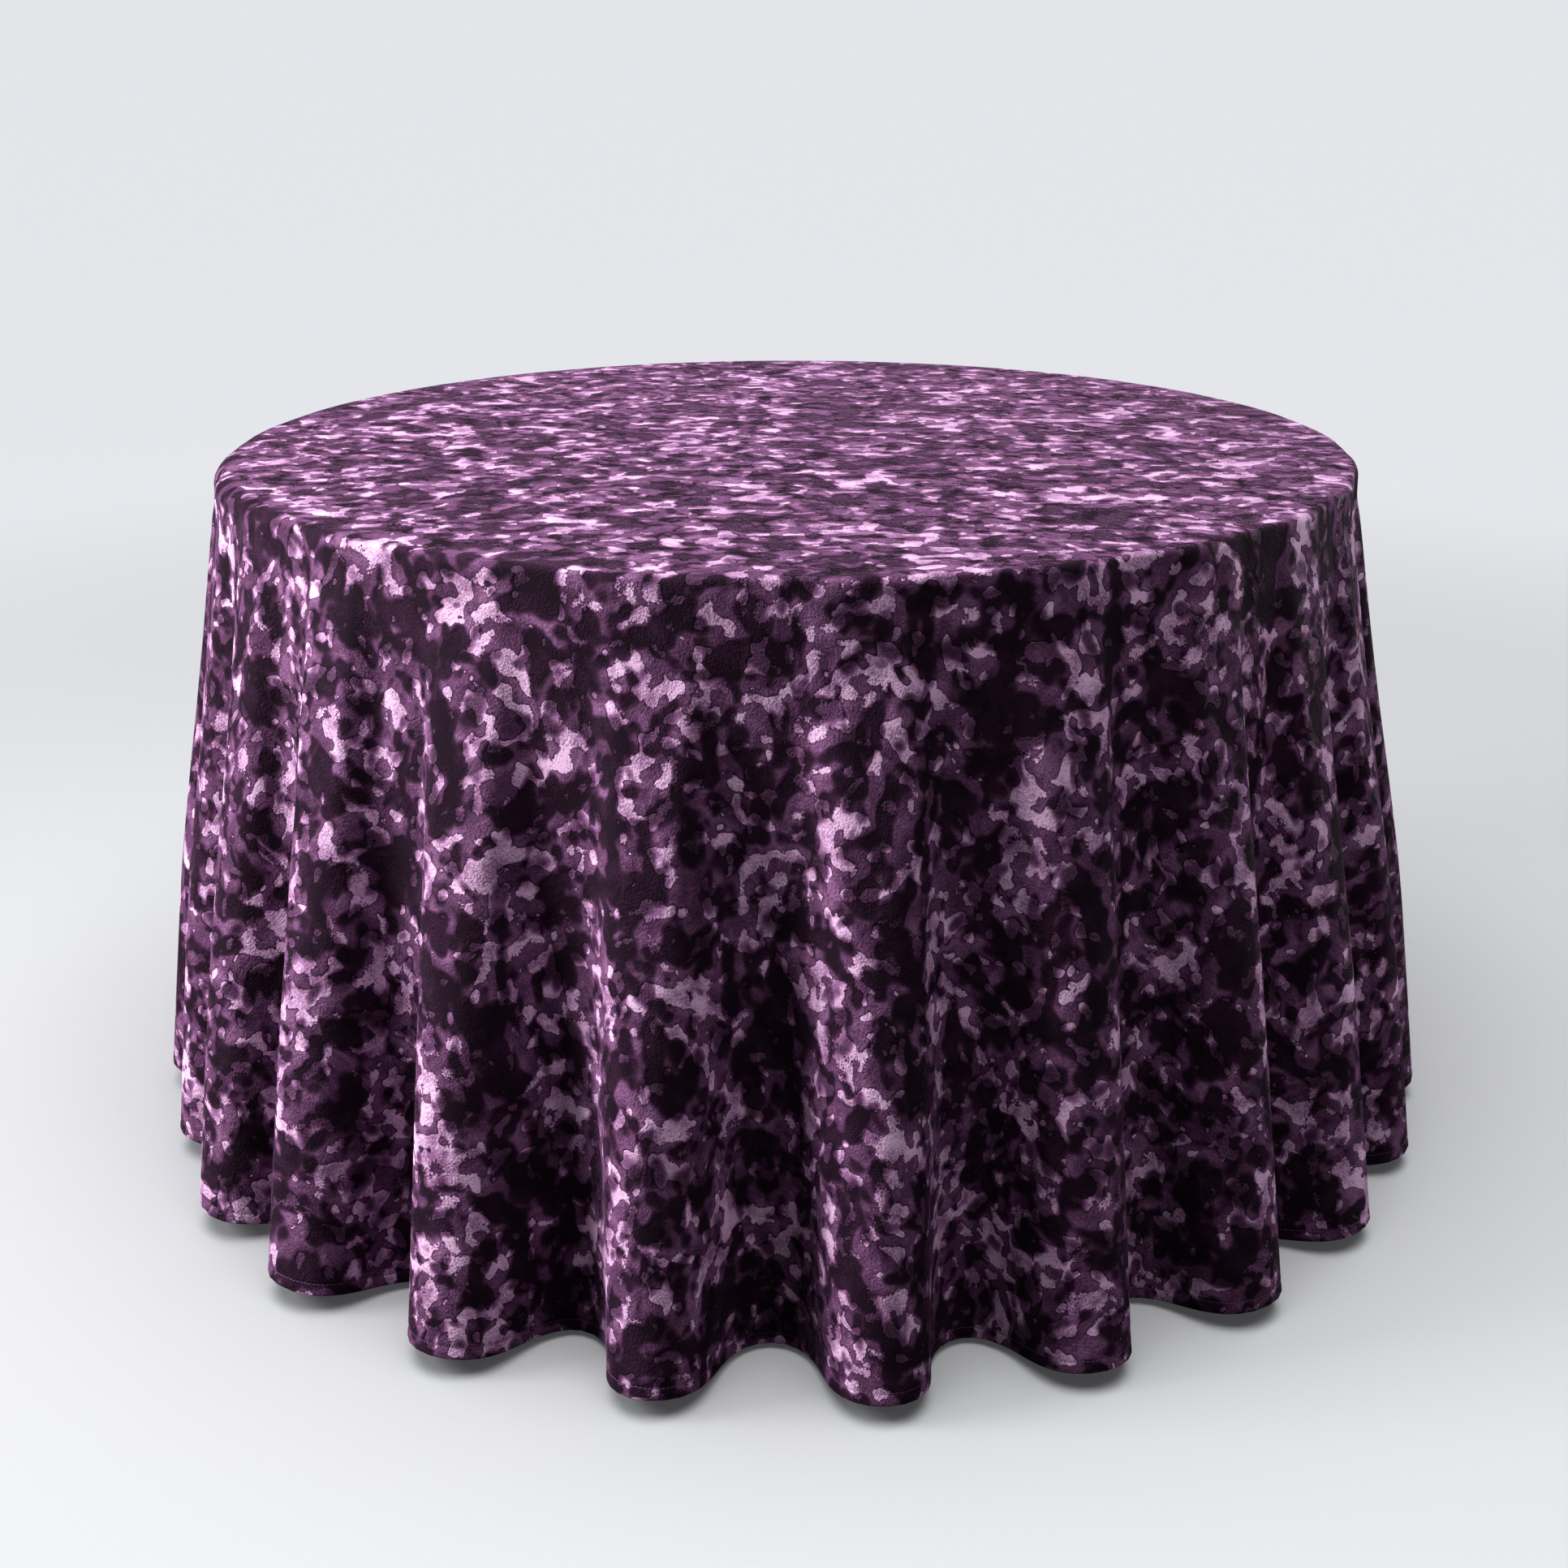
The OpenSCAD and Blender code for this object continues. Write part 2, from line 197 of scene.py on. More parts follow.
def skirt_depths():
    """Ring depths: close round the turn-down, even below it, close again at the hem."""
    turn = np.array([0.0015, 0.003, 0.0046, 0.0063, 0.0085, 0.011, 0.014, 0.0175, 0.022, 0.028,
                     0.036, 0.046, 0.058, 0.072, 0.088, 0.105])
    middle = np.linspace(0.105, SKIRT - 0.032, 36)[1:]
    lower = SKIRT - np.array([0.022, 0.0155, 0.0135, 0.0122, 0.0109, 0.009, 0.005])
    return np.concatenate([turn, middle, lower])


STRAIGHT_FROM = 30                               # the ring below which the skirt hangs straight
HEM_RINGS = 8                                    # the rings close together at the hem
SHOWS_AT = 0.12                                  # depth by which the folds' outsides stand out
LEAST_FALL = 0.05                                # the least that a step falls, of its length
STITCH_UP = 0.0122                               # stitch line above the lower edge
DENT, DENT_WIDTH = 0.0006, 0.0012                # depth and width of the groove it pulls
PUFF, PUFF_WIDTH, PUFF_UP = 0.0004, 0.004, 0.006  # the swelling between it and the edge
EDGE_REACH = 0.005                               # from the last ring to the lowest point
ROLL_STEPS = 7                                   # rings round the rolled edge
HEM_GAP = 0.00003                                # keeps the turned hem clear of the cloth's back
THREAD_R = 0.00032
STITCH_PITCH = 0.0042
THREAD_SIDES = 5
# along a stitch, in pitches, and the thread's radius there as a share of the full one
THREAD_GIRTHS = [(0.0, 0.45), (0.2, 1.0), (0.5, 1.0), (0.66, 1.0), (0.82, 0.45)]


class Drape:
    """The pile side of the cloth as rings of points, from the middle of the top to the hem."""

    def __init__(self):
        folds = all_folds()
        self.turn_az, _, _ = skirt_section(0.0, folds)
        self.rings, self.flat = [], []
        self.top()
        self.skirt(folds)

    def add(self, az, r, z, arc):
        self.rings.append(np.stack([r * np.sin(az), -r * np.cos(az), z], 1))
        self.flat.append(arc * np.stack([np.sin(self.turn_az), -np.cos(self.turn_az)], 1))

    def top(self):
        ones = np.ones_like(self.turn_az)
        for r in list(np.linspace(0.06, 0.54, 9)) + [0.57, 0.59, TURN_R]:
            self.add(self.turn_az, r * ones, TOP_Z * ones, r)

    def skirt(self, folds):
        az_was, inside_was, stands_was = skirt_section(0.0, folds)
        r = np.full_like(az_was, TURN_R)
        z = np.full_like(az_was, TOP_Z)
        was = 0.0
        deep = skirt_section(SHOWS_AT, folds)[2]
        outsideness = deep / deep.max()
        slack = np.exp(-((np.degrees(az_was) - SLACK_AT) / SLACK_SPREAD) ** 2)
        slack += np.exp(-((np.degrees(az_was) - SLACK_AT - 360) / SLACK_SPREAD) ** 2)
        turn = TIGHT_TURN + (LOOSE_TURN - TIGHT_TURN) * outsideness + SIDE_TURN * slack
        for depth in skirt_depths():
            az, inside, stands = skirt_section(depth, folds)
            step = depth - was
            level = np.cos(np.minimum((depth + was) / 2 / turn, math.pi / 2))
            out = step * level + (1 - level) * (inside - inside_was + stands - stands_was)
            side = (r + out / 2) * (az - az_was)
            fall = np.sqrt(np.maximum(step ** 2 - out ** 2 - side ** 2, (LEAST_FALL * step) ** 2))
            r = r + out
            z = z - fall
            self.add(az, r, z, TURN_R + depth)
            az_was, inside_was, stands_was, was = az, inside, stands, depth


def ring_normals(rings):
    """Outward normals of a stack of closed rings."""
    p = np.array(rings)
    across = np.roll(p, -1, axis=1) - np.roll(p, 1, axis=1)
    down = np.empty_like(p)
    down[1:-1] = p[2:] - p[:-2]
    down[0] = p[1] - p[0]
    down[-1] = p[-1] - p[-2]
    n = np.cross(down, across)
    n /= np.maximum(np.linalg.norm(n, axis=2, keepdims=True), 1e-12)
    return n


def add_object(name, mesh):
    mesh.polygons.foreach_set("use_smooth", [True] * len(mesh.polygons))
    mesh.update()
    obj = bpy.data.objects.new(name, mesh)
    bpy.context.scene.collection.objects.link(obj)
    return obj


def grid_mesh(name, rings, uvs=None, cap_first=None, cap_last=None, closed=False, material_of=None):
    """A mesh from rings of points. The caps are single points that close the first and last
    ring; closed joins the last ring to the first."""
    count = len(rings[0])
    verts = [tuple(v) for ring in rings for v in ring]
    i = np.arange(count)
    j = (i + 1) % count
    faces, groups = [], []
    pairs = [(a, a + 1) for a in range(len(rings) - 1)]
    if closed:
        pairs.append((len(rings) - 1, 0))
    for a, b in pairs:
        quad = np.stack([a * count + i, b * count + i, b * count + j, a * count + j], 1)
        faces += quad.tolist()
        groups += [a] * count
    if cap_first is not None:
        verts.append(tuple(cap_first))
        faces += [[len(verts) - 1, int(p), int(q)] for p, q in zip(i, j)]
        groups += [0] * count
    if cap_last is not None:
        verts.append(tuple(cap_last))
        base = (len(rings) - 1) * count
        faces += [[len(verts) - 1, base + int(q), base + int(p)] for p, q in zip(i, j)]
        groups += [len(rings) - 1] * count
    mesh = bpy.data.meshes.new(name)
    mesh.from_pydata(verts, [], faces)
    if uvs is not None:
        flat = [tuple(v) for ring in uvs for v in ring] + [(0.0, 0.0)] * 2
        layer = mesh.uv_layers.new(name="cut")
        index = np.empty(len(mesh.loops), dtype=np.int32)
        mesh.loops.foreach_get("vertex_index", index)
        layer.data.foreach_set("uv", np.array(flat, dtype=np.float32)[index].ravel())
    if material_of is not None:
        mesh.polygons.foreach_set("material_index", [material_of(g) for g in groups])
    return add_object(name, mesh)


def build_cloth(drape):
    rings = np.array(drape.rings)
    normals = ring_normals(rings)
    arcs = [np.linalg.norm(f[0]) for f in drape.flat]
    outer, flats = [], []
    for ring, n, flat, arc in zip(rings, normals, drape.flat, arcs):
        up = FINISHED_R - arc
        dent = DENT * math.exp(-((up - STITCH_UP) / DENT_WIDTH) ** 2)
        puff = PUFF * math.exp(-((up - PUFF_UP) / PUFF_WIDTH) ** 2)
        outer.append(ring - n * (dent - puff))
        flats.append(flat)
    # the lower edge rolls round to the inside
    last, n_last, flat_last = outer[-1], normals[-1], flats[-1]
    down = rings[-1] - rings[-2]
    down /= np.linalg.norm(down, axis=1, keepdims=True)
    roll = CLOTH_T
    for a in np.linspace(0, math.pi, ROLL_STEPS):
        along = EDGE_REACH - roll + roll * math.sin(a)
        inward = roll - roll * math.cos(a)
        outer.append(last + down * along - n_last * inward)
        flats.append(flat_last * (1 + (along + 2 * inward) / FINISHED_R))
    # the back needs only every other ring where the skirt hangs straight
    count = len(rings)
    kept = [k for k in range(count)
            if k < STRAIGHT_FROM or k >= count - HEM_RINGS or k % 2 == 0][::-1]
    back = rings - normals * CLOTH_T
    inner = [back[k] for k in kept]
    inner_flat = [drape.flat[k] for k in kept]
    split = len(outer)
    points = outer + [last + down * (EDGE_REACH - roll) - n_last * CLOTH_T * 1.02] + inner
    coords = flats + [flat_last] + inner_flat
    top = (0.0, 0.0, TOP_Z)
    under = (0.0, 0.0, TOP_Z - CLOTH_T)
    obj = grid_mesh("velvet_cloth", points, coords, cap_first=top, cap_last=under,
                    material_of=lambda g: 0 if g < split else 1)
    return obj, rings, normals, down


def build_hem(rings, normals, down):
    """The turned-up edge on the inside, as a band of cloth sewn to the back of the skirt."""
    last, n = rings[-1], normals[-1]
    bottom, top = 0.0032, -0.0078                # down from the last ring of the pile side
    near, far = CLOTH_T, 2 * CLOTH_T             # inward from it
    sections = [(bottom, near), (bottom, far), (0.0, far + 0.0002), (-0.004, far),
                (-0.0065, far - 0.0005), (top, far), (top - 0.0006, far - 0.0006), (top, near)]
    band = [last + down * along - n * (inward + HEM_GAP) for along, inward in sections]
    return grid_mesh("turned_hem", band[::-1], closed=True)


def along_line(at, lengths, rows):
    """The value that the rows have at a length along a line."""
    return np.array([np.interp(at, lengths, rows[:, c]) for c in range(3)])


def one_stitch(start, lengths, line, outward):
    """The vertices of one short thread, ring by ring."""
    verts = []
    for part, girth in THREAD_GIRTHS:
        at = start + part * STITCH_PITCH
        p = along_line(at, lengths, line)
        fore = along_line(at + 0.0005, lengths, line) - p
        fore /= np.linalg.norm(fore)
        out = along_line(at, lengths, outward)
        side = np.cross(fore, out)
        for a in 2 * math.pi * np.arange(THREAD_SIDES) / THREAD_SIDES:
            verts.append(tuple(p + THREAD_R * girth * (math.cos(a) * out + math.sin(a) * side)))
    return verts


def stitch_faces(base):
    """The faces of one short thread whose vertices begin at base."""
    faces = []
    n, rings = THREAD_SIDES, len(THREAD_GIRTHS)
    for r in range(rings - 1):
        for m in range(n):
            a, b = base + r * n + m, base + r * n + (m + 1) % n
            faces.append((a, b, b + n, a + n))
    faces.append(tuple(base + m for m in range(n))[::-1])
    faces.append(tuple(base + (rings - 1) * n + m for m in range(n)))
    return faces


def build_stitches(drape, normals):
    """Short threads end to end in the groove above the lower edge."""
    arcs = np.array([np.linalg.norm(f[0]) for f in drape.flat])
    k = int(np.argmin(np.abs(FINISHED_R - arcs - STITCH_UP)))
    line = np.array(drape.rings[k]) - normals[k] * (DENT - 0.0001)
    line = np.vstack([line, line[:1]])
    outward = np.vstack([normals[k], normals[k][:1]])
    steps = np.linalg.norm(np.diff(line, axis=0), axis=1)
    lengths = np.concatenate([[0], np.cumsum(steps)])
    verts, faces = [], []
    for s in range(int(lengths[-1] / STITCH_PITCH)):
        faces += stitch_faces(len(verts))
        verts += one_stitch(s * STITCH_PITCH, lengths, line, outward)
    mesh = bpy.data.meshes.new("hem_stitching")
    mesh.from_pydata(verts, [], faces)
    return add_object("hem_stitching", mesh)


# ---- materials -------------------------------------------------------------
class Nodes:
    """Short calls for building a material's node tree."""

    def __init__(self, name):
        self.material = bpy.data.materials.new(name)
        self.material.use_nodes = True
        self.tree = self.material.node_tree
        self.shader = self.tree.nodes["Principled BSDF"]
        self.space = "3D"

    def node(self, kind, **values):
        n = self.tree.nodes.new(kind)
        for key, value in values.items():
            setattr(n, key, value)
        return n

    def link(self, a, b):
        self.tree.links.new(a, b)

    def set(self, socket, value):
        self.put(self.shader.inputs[socket], value)

    def put(self, target, value):
        """A number, a colour or another node's output on a socket."""
        if isinstance(value, bpy.types.NodeSocket):
            self.link(value, target)
        else:
            target.default_value = value

    def coords(self):
        return self.node("ShaderNodeTexCoord").outputs["Object"]

    def cut(self):
        return self.node("ShaderNodeUVMap", uv_map="cut").outputs["UV"]

    def mapping(self, vector, scale=(1, 1, 1), location=(0, 0, 0)):
        m = self.node("ShaderNodeMapping")
        self.link(vector, m.inputs["Vector"])
        m.inputs["Scale"].default_value = scale
        m.inputs["Location"].default_value = location
        return m.outputs["Vector"]

    def noise(self, vector, scale, detail=2.0, rough=0.5, distortion=0.0, colour=False):
        n = self.node("ShaderNodeTexNoise", noise_dimensions=self.space)
        self.link(vector, n.inputs["Vector"])
        n.inputs["Scale"].default_value = scale
        n.inputs["Detail"].default_value = detail
        n.inputs["Roughness"].default_value = rough
        n.inputs["Distortion"].default_value = distortion
        return n.outputs["Color" if colour else "Fac"]

    def math(self, operation, a, b=0.0, clamp=False):
        m = self.node("ShaderNodeMath", operation=operation, use_clamp=clamp)
        self.put(m.inputs[0], a)
        self.put(m.inputs[1], b)
        return m.outputs[0]

    def plus(self, a, b, times=1.0, clamp=False):
        """a + b x times."""
        return self.math("ADD", a, self.math("MULTIPLY", b, times), clamp)

    def vector(self, operation, a, b=(0, 0, 0), scale=None):
        m = self.node("ShaderNodeVectorMath", operation=operation)
        self.put(m.inputs[0], a)
        if operation != "SCALE":
            self.put(m.inputs[1], b)
        else:
            self.put(m.inputs["Scale"], scale)
        return m.outputs[0]

    def ramp(self, value, low, high, to_low=0.0, to_high=1.0, smoothly=True):
        """value from low..high mapped to to_low..to_high."""
        m = self.node("ShaderNodeMapRange",
                      interpolation_type="SMOOTHSTEP" if smoothly else "LINEAR")
        self.put(m.inputs["Value"], value)
        self.put(m.inputs["From Min"], low)
        self.put(m.inputs["From Max"], high)
        self.put(m.inputs["To Min"], to_low)
        self.put(m.inputs["To Max"], to_high)
        return m.outputs["Result"]

    def mix(self, factor, a, b):
        m = self.node("ShaderNodeMix", data_type="RGBA")
        self.put(m.inputs["Factor"], factor)
        self.put(m.inputs["A"], a)
        self.put(m.inputs["B"], b)
        return m.outputs["Result"]

    def cells(self, vector, scale):
        """Distance to the nearest of many scattered points, rounded where they meet."""
        n = self.node("ShaderNodeTexVoronoi", feature="SMOOTH_F1", voronoi_dimensions=self.space)
        n.inputs["Scale"].default_value = scale
        n.inputs["Smoothness"].default_value = 0.25
        self.link(vector, n.inputs["Vector"])
        return n.outputs["Distance"]

    def colours(self, value, stops):
        """A colour ramp through the stops."""
        n = self.node("ShaderNodeValToRGB")
        self.link(value, n.inputs["Fac"])
        points = n.color_ramp.elements
        while len(points) < len(stops):
            points.new(0.5)
        for point, (place, colour) in zip(points, stops):
            point.position = place
            point.color = colour
        return n.outputs["Color"]

    def bump(self, height, distance, strength=1.0, normal=None):
        b = self.node("ShaderNodeBump")
        self.link(height, b.inputs["Height"])
        b.inputs["Distance"].default_value = distance
        b.inputs["Strength"].default_value = strength
        if normal is not None:
            self.link(normal, b.inputs["Normal"])
        return b.outputs["Normal"]


def rgb(r, g, b):
    """A display colour, 0 to 255, as the shader's linear one."""
    def linear(v):
        v /= 255
        return v / 12.92 if v <= 0.04045 else ((v + 0.055) / 1.055) ** 2.4
    return (linear(r), linear(g), linear(b), 1.0)


PILE_TONES = [(0.00, rgb(24, 8, 23)), (0.28, rgb(46, 23, 44)), (0.52, rgb(88, 54, 86)),
              (0.74, rgb(134, 92, 131)), (1.00, rgb(222, 181, 218))]
PILE_SHEEN = rgb(226, 164, 224)


ISLAND_EDGE = 0.466                              # where the islands of raised pile begin


def velvet_islands(m, flat, pile, clusters, grit):
    """Islands of raised pile, crisp in some places and broken up into grains in others, and the
    thin dark rim that borders them."""
    fuzzy = m.ramp(m.noise(m.mapping(flat, location=(3.1, 9.4, 0.0)), 16.0, 1.0), 0.38, 0.62)
    value = m.noise(m.mapping(pile, scale=(1.0, 1.2, 1.0)), 41.0, 1.4, 0.4)
    value = m.plus(value, clusters, 0.50)
    value = m.plus(value, m.cells(pile, 74.0), -0.26)
    value = m.plus(value, m.math("MULTIPLY", grit, m.ramp(fuzzy, 0.0, 1.0, 0.02, 0.20, False)))
    width = m.ramp(fuzzy, 0.0, 1.0, 0.005, 0.045, False)
    light = m.ramp(value, m.plus(ISLAND_EDGE, width, -1.0), m.plus(ISLAND_EDGE, width))
    rim = m.plus(m.ramp(value, ISLAND_EDGE - 0.066, ISLAND_EDGE - 0.016), light, -1.0, clamp=True)
    return light, rim


def velvet_hollows(m, pile, clusters, grit):
    """Hollows of flattened pile between the islands."""
    value = m.noise(m.mapping(pile, location=(7.3, 2.1, 0.0)), 32.0, 1.6, 0.4)
    value = m.plus(value, clusters, -0.60)
    value = m.plus(value, m.cells(pile, 58.0), -0.30)
    value = m.plus(value, grit, 0.06)
    return m.ramp(value, 0.27, 0.49)


def velvet(name, cut=True):
    """Crushed velvet, on the cloth's flat pattern or, where it has none, in space."""
    m = Nodes(name)
    flat = m.cut() if cut else m.coords()
    m.space = "2D" if cut else "3D"
    sway = m.vector("SUBTRACT", m.noise(flat, 9.0, 2.0, 0.6, colour=True), (0.5, 0.5, 0.5))
    pile = m.vector("ADD", flat, m.vector("SCALE", sway, scale=0.030))
    clusters = m.math("SUBTRACT", m.noise(pile, 12.0, 1.0), 0.5)
    grain = m.noise(flat, 400.0, 1.5, 0.6)
    grit = m.math("SUBTRACT", grain, 0.5)
    light, rim = velvet_islands(m, flat, pile, clusters, grit)
    deep = velvet_hollows(m, pile, clusters, grit)
    soft = m.noise(m.mapping(pile, location=(1.7, 5.2, 0.0)), 27.0, 3.0, 0.6)
    tone = m.ramp(soft, 0.28, 0.72, 0.36, 0.70, False)
    tone = m.plus(tone, deep, -0.46)
    tone = m.plus(tone, light, 0.34)
    tone = m.plus(tone, rim, -0.14)
    tone = m.plus(tone, grit, 0.34, clamp=True)
    m.set("Base Color", m.colours(tone, PILE_TONES))
    m.set("Roughness", m.ramp(light, 0.0, 1.0, 0.85, 0.55, False))
    m.set("Specular IOR Level", 0.08)
    m.set("Sheen Weight", 0.45)
    m.set("Sheen Roughness", 0.14)
    m.set("Sheen Tint", PILE_SHEEN)
    m.set("Normal", m.bump(grain, 0.0006, 0.4, m.bump(tone, 0.005, 0.5)))
    return m.material


def knit_back(name):
    """The back of the velvet: a dull fine knit."""
    m = Nodes(name)
    flat = m.cut()
    rows = m.node("ShaderNodeTexWave", wave_type="BANDS", bands_direction="X")
    m.link(flat, rows.inputs["Vector"])
    rows.inputs["Scale"].default_value = 180.0
    rows.inputs["Distortion"].default_value = 2.0
    tone = m.noise(flat, 30.0, 3.0)
    m.set("Base Color", m.mix(tone, rgb(66, 38, 70), rgb(92, 58, 94)))
    m.set("Roughness", 0.9)
    m.set("Sheen Weight", 0.2)
    m.set("Normal", m.bump(rows.outputs["Fac"], 0.0003, 0.6))
    return m.material


def thread(name):
    """Sewing thread, with its strands along it."""
    m = Nodes(name)
    strands = m.noise(m.mapping(m.coords(), scale=(3000, 3000, 900)), 1.0, 1.0)
    m.set("Base Color", m.mix(strands, rgb(70, 40, 74), rgb(128, 84, 130)))
    m.set("Roughness", 0.6)
    m.set("Normal", m.bump(strands, 0.0001, 0.5))
    return m.material


def wood(name, pale, dark, along="X", scale=14.0, gloss=0.5):
    """Planed wood: growth rings drawn out along the grain, pores and a little variation."""
    m = Nodes(name)
    stretch = {"X": (0.6, 9.0, 9.0), "Y": (9.0, 0.6, 9.0)}[along]
    p = m.mapping(m.coords(), scale=stretch)
    rings = m.noise(p, scale / 4, 5.0, 0.6, 1.2)
    pores = m.noise(m.mapping(p, scale=(1, 6, 6)), scale * 4, 3.0, 0.7)
    figure = m.math("FRACT", m.math("MULTIPLY", rings, 9.0))
    colour = m.mix(m.ramp(figure, 0.1, 0.9, 0.15, 0.8), pale, dark)
    colour = m.mix(m.ramp(pores, 0.55, 0.72, 0.0, 0.45), colour, dark)
    m.set("Base Color", colour)
    m.set("Roughness", m.ramp(pores, 0.3, 0.8, gloss - 0.08, gloss + 0.15, False))
    m.set("Normal", m.bump(pores, 0.0004, 0.35))
    return m.material


def enamel(name, colour, rough, grain, lumps=600.0):
    """Painted or powder-coated metal with orange peel and rubbed edges."""
    m = Nodes(name)
    p = m.coords()
    peel = m.noise(p, lumps, 2.0, 0.5)
    dirt = m.noise(p, 22.0, 4.0, 0.6)
    worn = tuple(min(1.0, c * 1.8 + 0.02) for c in colour[:3]) + (1.0,)
    m.set("Base Color", m.mix(m.ramp(dirt, 0.55, 0.75, 0.0, 0.5), colour, worn))
    m.set("Roughness", m.ramp(dirt, 0.3, 0.7, rough - 0.08, rough + 0.1, False))
    m.set("Normal", m.bump(peel, 0.0004, grain))
    return m.material


def plated(name, colour):
    """Zinc-plated steel with fine turning marks."""
    m = Nodes(name)
    p = m.coords()
    marks = m.noise(m.mapping(p, scale=(1, 1, 8)), 900.0, 2.0, 0.6)
    tint = m.noise(p, 120.0, 2.0)
    m.set("Base Color", m.mix(tint, colour, rgb(196, 190, 158)))
    m.set("Metallic", 1.0)
    m.set("Roughness", m.ramp(marks, 0.3, 0.7, 0.26, 0.42, False))
    m.set("Normal", m.bump(marks, 0.0001, 0.3))
    return m.material


def moulded(name, colour, rough, texture=1500.0):
    """Moulded plastic or rubber with a fine spark-eroded grain and scuffs."""
    m = Nodes(name)
    p = m.coords()
    fine = m.noise(p, texture, 2.0, 0.6)
    scuff = m.noise(p, 40.0, 4.0, 0.65)
    pale = tuple(min(1.0, c * 1.5 + 0.015) for c in colour[:3]) + (1.0,)
    m.set("Base Color", m.mix(m.ramp(scuff, 0.5, 0.75, 0.0, 0.6), colour, pale))
    m.set("Roughness", m.ramp(scuff, 0.3, 0.7, rough - 0.06, rough + 0.1, False))
    m.set("Normal", m.bump(fine, 0.0002, 0.4))
    return m.material


def coat_table():
    """A material of its own for every CAD node that stays."""
    rail_x = wood("rail_wood_x", rgb(222, 192, 146), rgb(188, 150, 102), "X")
    rail_y = wood("rail_wood_y", rgb(222, 192, 146), rgb(188, 150, 102), "Y")
    finishes = {
        "top_panel": wood("plywood", rgb(214, 180, 132), rgb(176, 136, 88), "X", 16.0, 0.42),
        "edge_band": moulded("edge_band_plastic", rgb(70, 52, 40), 0.45),
        "front_rail": rail_x, "back_rail": rail_x, "centre_batten": rail_x,
        "left_rail": rail_y, "right_rail": rail_y,
        "corner_blocks": wood("block_wood", rgb(206, 170, 120), rgb(166, 126, 80), "Y"),
    }
    zinc = plated("zinc", rgb(182, 182, 180))
    by_ending = {
        "_screws": zinc, "_bolts": zinc, "_nuts": zinc,
        "_bracket": enamel("bracket_enamel", rgb(96, 99, 103), 0.42, 0.5, 260.0),
        "_leg_tube": enamel("leg_powder_coat", rgb(34, 34, 36), 0.5, 0.35, 900.0),
        "_leg_plug": moulded("plug_plastic", rgb(26, 26, 26), 0.5),
        "_foot": moulded("foot_rubber", rgb(30, 30, 30), 0.8, 700.0),
        "_latch_knob": moulded("knob_plastic", rgb(176, 34, 28), 0.35),
        "_saddle": moulded("saddle_plastic", rgb(34, 34, 37), 0.5),
    }
    for name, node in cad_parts.items():
        finish = finishes.get(name)
        for ending, material in by_ending.items():
            if name.endswith(ending):
                finish = material
        if finish is None:
            continue
        for place in node.material_slots:
            place.material = finish


# ---- stage -----------------------------------------------------------------
FLAT_FLOOR = 6.0                                 # radius of the flat part of the studio floor
SWEEP = 6.0                                      # radius of the curve up into the wall
WALL_TOP = 11.0
FLOOR_Z = -0.0005                                # just clear of the feet
CAMERA_AT = (0.0, -2.2648, 1.1786)
CAMERA_DOWN = 20.293                             # degrees below the horizon
CAMERA_LENS = 46.29
CAMERA_SHIFT = -0.0051


def build_studio():
    """A round floor that sweeps up into a wall on every side, so that no horizon shows."""
    around = np.radians(np.arange(0, 360, 3.0))
    ones = np.ones_like(around)
    profile = [(r, FLOOR_Z) for r in (0.5, 1.0, 2.0, 4.0, FLAT_FLOOR)]
    for a in np.radians(np.arange(6, 91, 6)):
        profile.append((FLAT_FLOOR + SWEEP * math.sin(a), SWEEP - SWEEP * math.cos(a)))
    profile.append((FLAT_FLOOR + SWEEP, WALL_TOP))
    rings = [np.stack([r * np.sin(around), -r * np.cos(around), z * ones], 1) for r, z in profile]
    studio = grid_mesh("studio", rings, cap_first=(0.0, 0.0, FLOOR_Z))
    studio.data.materials.append(backdrop_paper())
    return studio


def backdrop_paper():
    """Pale paper that takes the table's shadows near it and evens out to one tone far away."""
    m = Nodes("backdrop_paper")
    away = m.node("ShaderNodeVectorMath", operation="LENGTH")
    m.link(m.coords(), away.inputs[0])
    far = m.ramp(away.outputs["Value"], 0.6, 3.8)
    tooth = m.noise(m.coords(), 400.0, 2.0)
    near_tone = m.mix(tooth, (0.53, 0.537, 0.555, 1), (0.56, 0.567, 0.585, 1))
    seen = m.node("ShaderNodeLightPath").outputs["Is Camera Ray"]
    bounced = (0.10, 0.101, 0.105, 1)            # how much of its light it throws back on the cloth
    m.set("Base Color", m.mix(seen, bounced, m.mix(far, near_tone, (0.03, 0.03, 0.032, 1))))
    m.set("Roughness", 0.95)
    m.set("Specular IOR Level", 0.1)
    m.set("Emission Color", (0.970, 0.985, 1.03, 1))
    m.set("Emission Strength", m.math("MULTIPLY", seen, m.ramp(far, 0.0, 1.0, 0.05, 0.79, False)))
    return m.material


def area_light(name, at, toward, size, watts, colour=(1, 1, 1)):
    data = bpy.data.lights.new(name, "AREA")
    data.shape = "RECTANGLE"
    data.size, data.size_y = size
    data.energy = watts
    data.color = colour
    obj = bpy.data.objects.new(name, data)
    bpy.context.scene.collection.objects.link(obj)
    obj.location = at
    obj.rotation_euler = (Vector(toward) - Vector(at)).to_track_quat("-Z", "Y").to_euler()
    obj.visible_camera = False
    return obj


def light_only(lamp, studio, state):
    """The lamp lights the studio alone (INCLUDE), or all but the studio (EXCLUDE)."""
    group = bpy.data.collections.new(lamp.name + "_falls_on")
    group.objects.link(studio)
    group.collection_objects[0].light_linking.link_state = state
    lamp.light_linking.receiver_collection = group


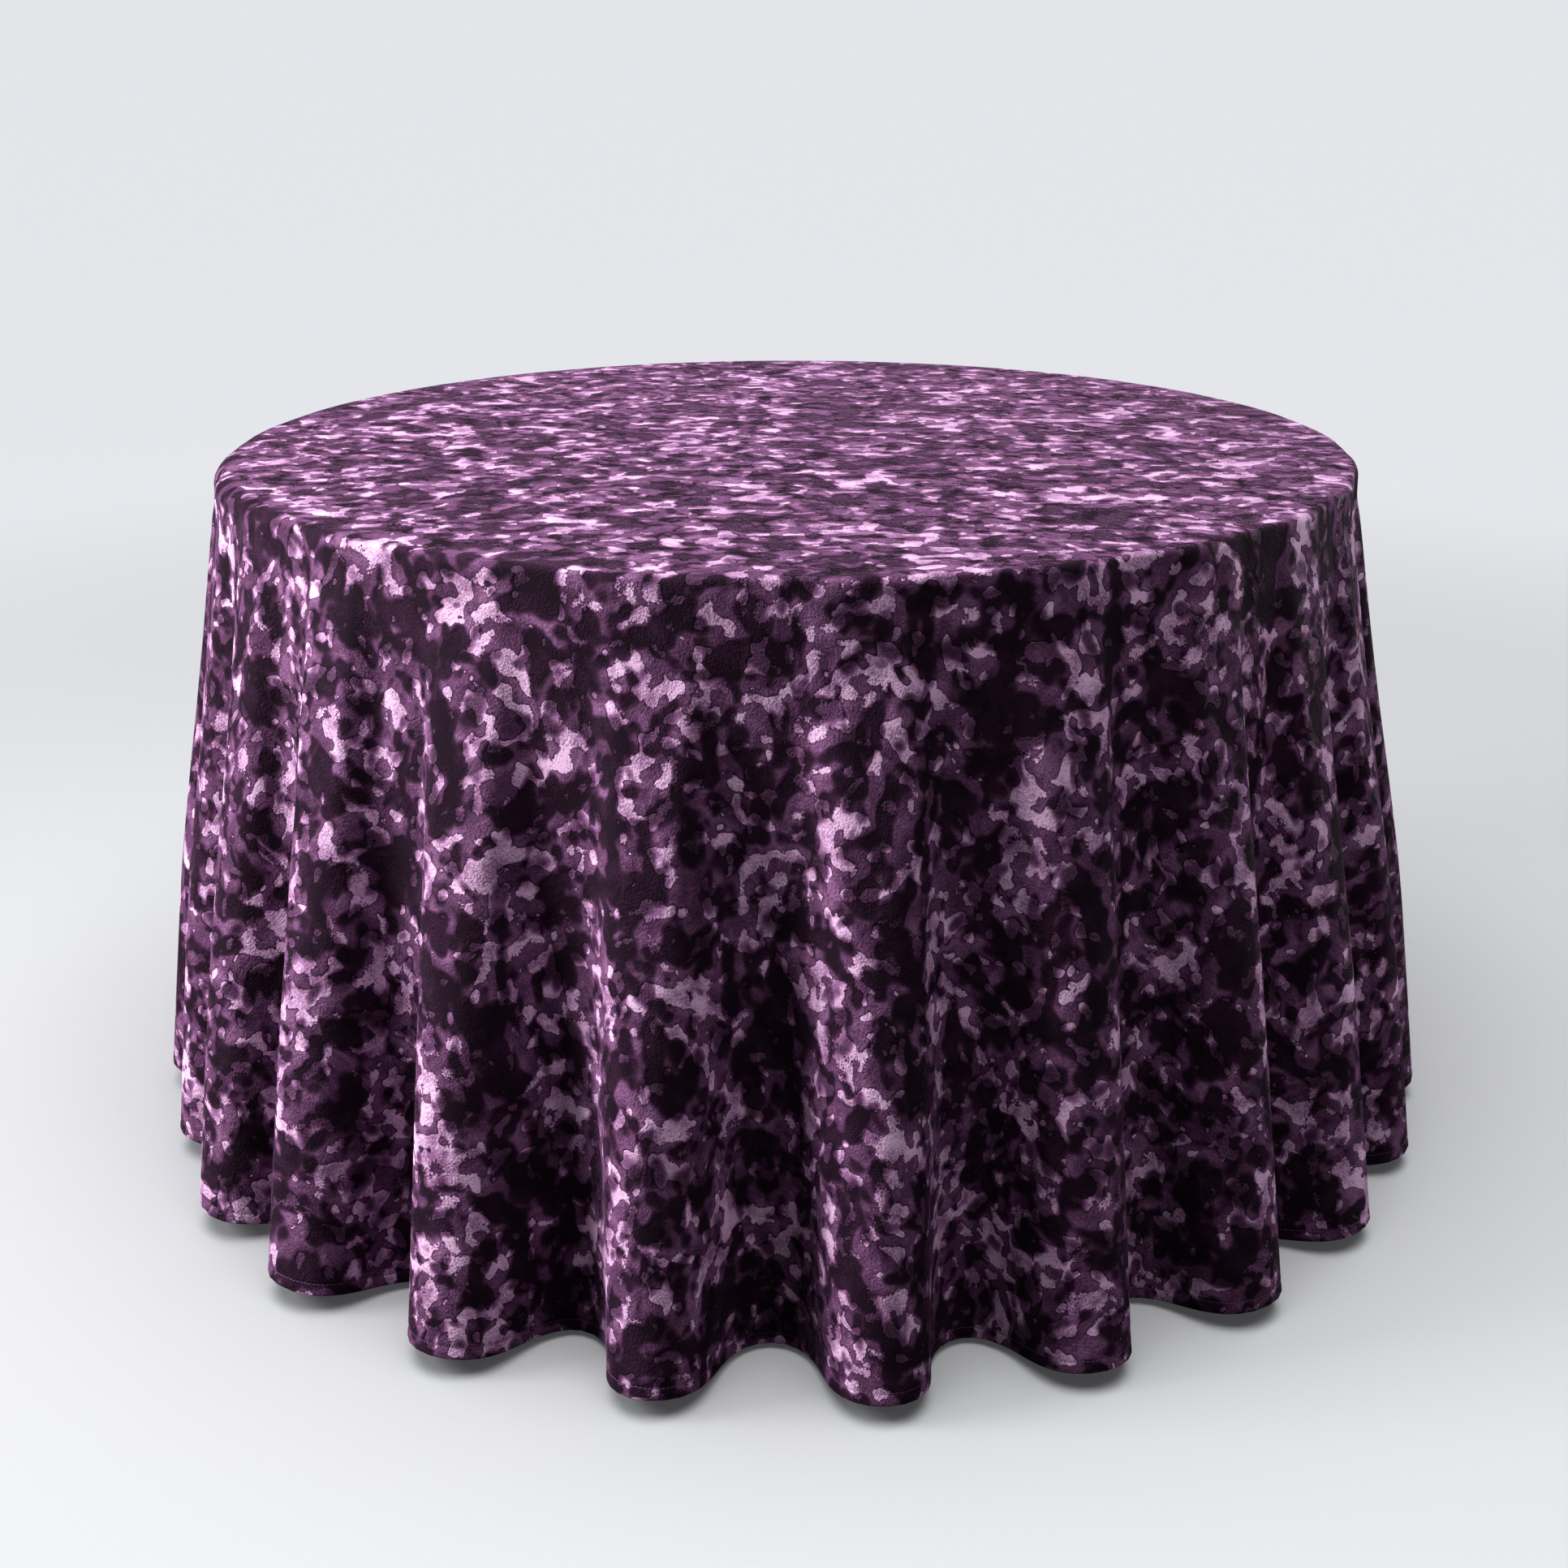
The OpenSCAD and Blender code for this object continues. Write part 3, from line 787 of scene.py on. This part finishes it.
def build_lights(studio):
    """Lamps for the table and its cloth, then softer ones for the floor and its shadows."""
    for row in (
        ("key", (-3.6, -1.0, 2.2), (0, 0, 0.45), (1.4, 1.8), 340, (1.0, 0.99, 0.98)),
        ("fill", (2.6, -3.0, 2.4), (0, 0, 0.4), (2.4, 2.4), 41),
        ("rim", (3.4, 1.4, 1.5), (0, 0, 0.45), (1.2, 1.8), 60),
        ("overhead", (-0.8, -0.3, 3.2), (0, 0, 0.7), (2.0, 2.0), 84),
    ):
        light_only(area_light(*row), studio, "EXCLUDE")
    for row in (
        ("floor_key", (-5.4, -0.95, 3.8), (0, 0, 0), (2.2, 2.2), 176),
        ("floor_overhead", (-0.2, -0.75, 4.2), (-0.2, -0.75, 0), (4.2, 4.2), 286),
    ):
        light_only(area_light(*row), studio, "INCLUDE")
    world = bpy.data.worlds.new("studio")
    bpy.context.scene.world = world
    world.use_nodes = True
    world.node_tree.nodes["Background"].inputs["Color"].default_value = (0.125, 0.127, 0.133, 1)


def build_camera():
    data = bpy.data.cameras.new("camera")
    data.lens = CAMERA_LENS
    data.sensor_width = 36
    data.shift_x = CAMERA_SHIFT
    obj = bpy.data.objects.new("camera", data)
    bpy.context.scene.collection.objects.link(obj)
    obj.location = CAMERA_AT
    obj.rotation_euler = (math.radians(90 - CAMERA_DOWN), 0, 0)
    bpy.context.scene.camera = obj


def main():
    drape = Drape()
    cloth, rings, normals, down = build_cloth(drape)
    pile = velvet("crushed_velvet")
    cloth.data.materials.append(pile)
    cloth.data.materials.append(knit_back("velvet_back"))
    hem = build_hem(rings, normals, down)
    hem.data.materials.append(velvet("hem_velvet", cut=False))
    stitches = build_stitches(drape, normals)
    stitches.data.materials.append(thread("hem_thread"))
    for piece, slot in ((cloth, "cloth"), (hem, "hem"), (stitches, "hem")):
        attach(piece, "table")
    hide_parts("tablecloth")
    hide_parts("hem_band")
    coat_table()
    build_lights(build_studio())
    build_camera()
    bpy.context.scene.view_settings.view_transform = "Standard"


main()
